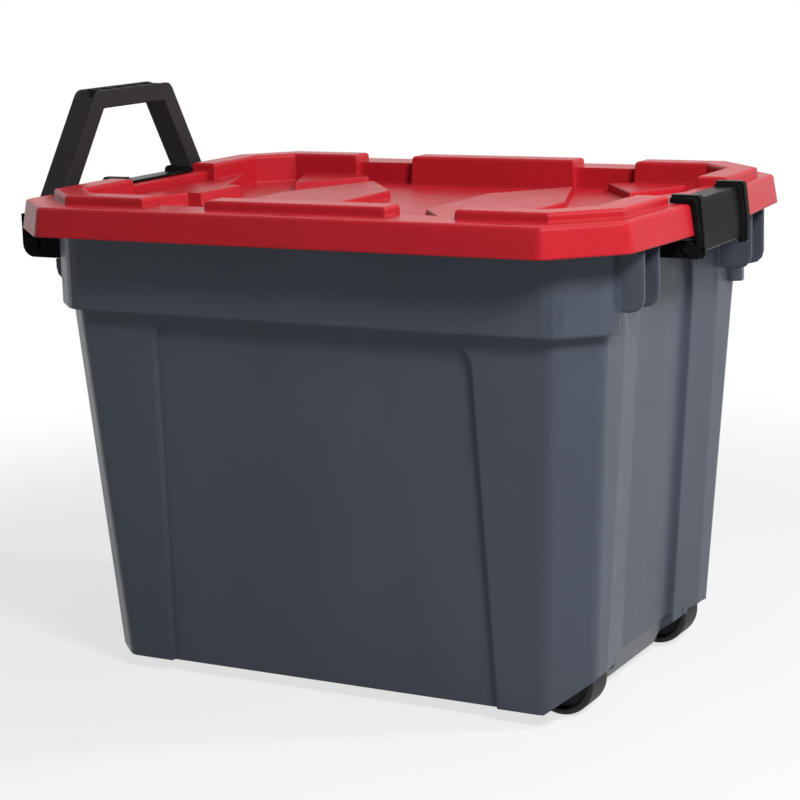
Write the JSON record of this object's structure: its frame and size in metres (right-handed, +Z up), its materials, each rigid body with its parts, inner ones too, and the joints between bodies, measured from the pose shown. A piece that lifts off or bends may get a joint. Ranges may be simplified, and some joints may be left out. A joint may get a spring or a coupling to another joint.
{
  "type": "wheeled storage box",
  "caption": "Large tapered plastic storage box with a lift-off ribbed lid, swing latches over the rim at both ends, a folding pull handle and transport wheels.",
  "frame": {"origin": "on the floor under the middle of the lid and tub", "axes": "+Z up, +X along the long side towards the wheel end, +Y across to the back long side"},
  "size_m": [0.6393, 0.463, 0.5288],
  "materials": {
    "tub_plastic": "slate blue-grey moulded polypropylene, satin",
    "lid_plastic": "red moulded polypropylene, satin with a fine grain",
    "black_plastic": "black moulded plastic, satin",
    "wheel_plastic": "black moulded wheel, matt tread",
    "steel": "plain steel latch pins, axles and screws"
  },
  "bodies": {
    "tub": {"tub": "tub_plastic", "latch_pin_right": "steel", "latch_pin_left": "steel", "latch_bracket_right": "black_plastic", "handle_bracket": "black_plastic", "latch_bracket_screws": "steel", "handle_bracket_screws": "steel", "handle_pin_front": "black_plastic", "handle_pin_back": "black_plastic", "axle_front": "steel", "axle_back": "steel", "axle_keepers_front": "black_plastic", "axle_keepers_back": "black_plastic"},
    "lid": {"lid": "lid_plastic"},
    "latch_right": {"latch_right": "black_plastic"},
    "latch_left": {"latch_left": "black_plastic"},
    "handle": {"pull_handle": "black_plastic"},
    "wheel_front": {"wheel_front": "wheel_plastic"},
    "wheel_back": {"wheel_back": "wheel_plastic"}
  },
  "joints": [
    {"name": "lid_lift", "type": "slide", "parent": "tub", "child": "lid", "axis": [0, 0, 1], "range_m": [0, 0.25]},
    {"name": "latch_right_swing", "type": "hinge", "parent": "tub", "child": "latch_right", "pos_m": [0.3025, 0, 0.402], "axis": [0, 1, 0], "range_deg": [0, 90]},
    {"name": "latch_left_swing", "type": "hinge", "parent": "tub", "child": "latch_left", "pos_m": [-0.2847, 0, 0.402], "axis": [0, -1, 0], "range_deg": [0, 90]},
    {"name": "handle_swing", "type": "hinge", "parent": "tub", "child": "handle", "pos_m": [-0.31189, 0, 0.393], "axis": [0, -1, 0], "range_deg": [0, 180]},
    {"name": "wheel_front_spin", "type": "hinge", "parent": "tub", "child": "wheel_front", "pos_m": [0.2095, -0.1095, 0.0302], "axis": [0, 1, 0], "continuous": true},
    {"name": "wheel_back_spin", "type": "hinge", "parent": "tub", "child": "wheel_back", "pos_m": [0.2095, 0.1095, 0.0302], "axis": [0, 1, 0], "continuous": true}
  ]
}
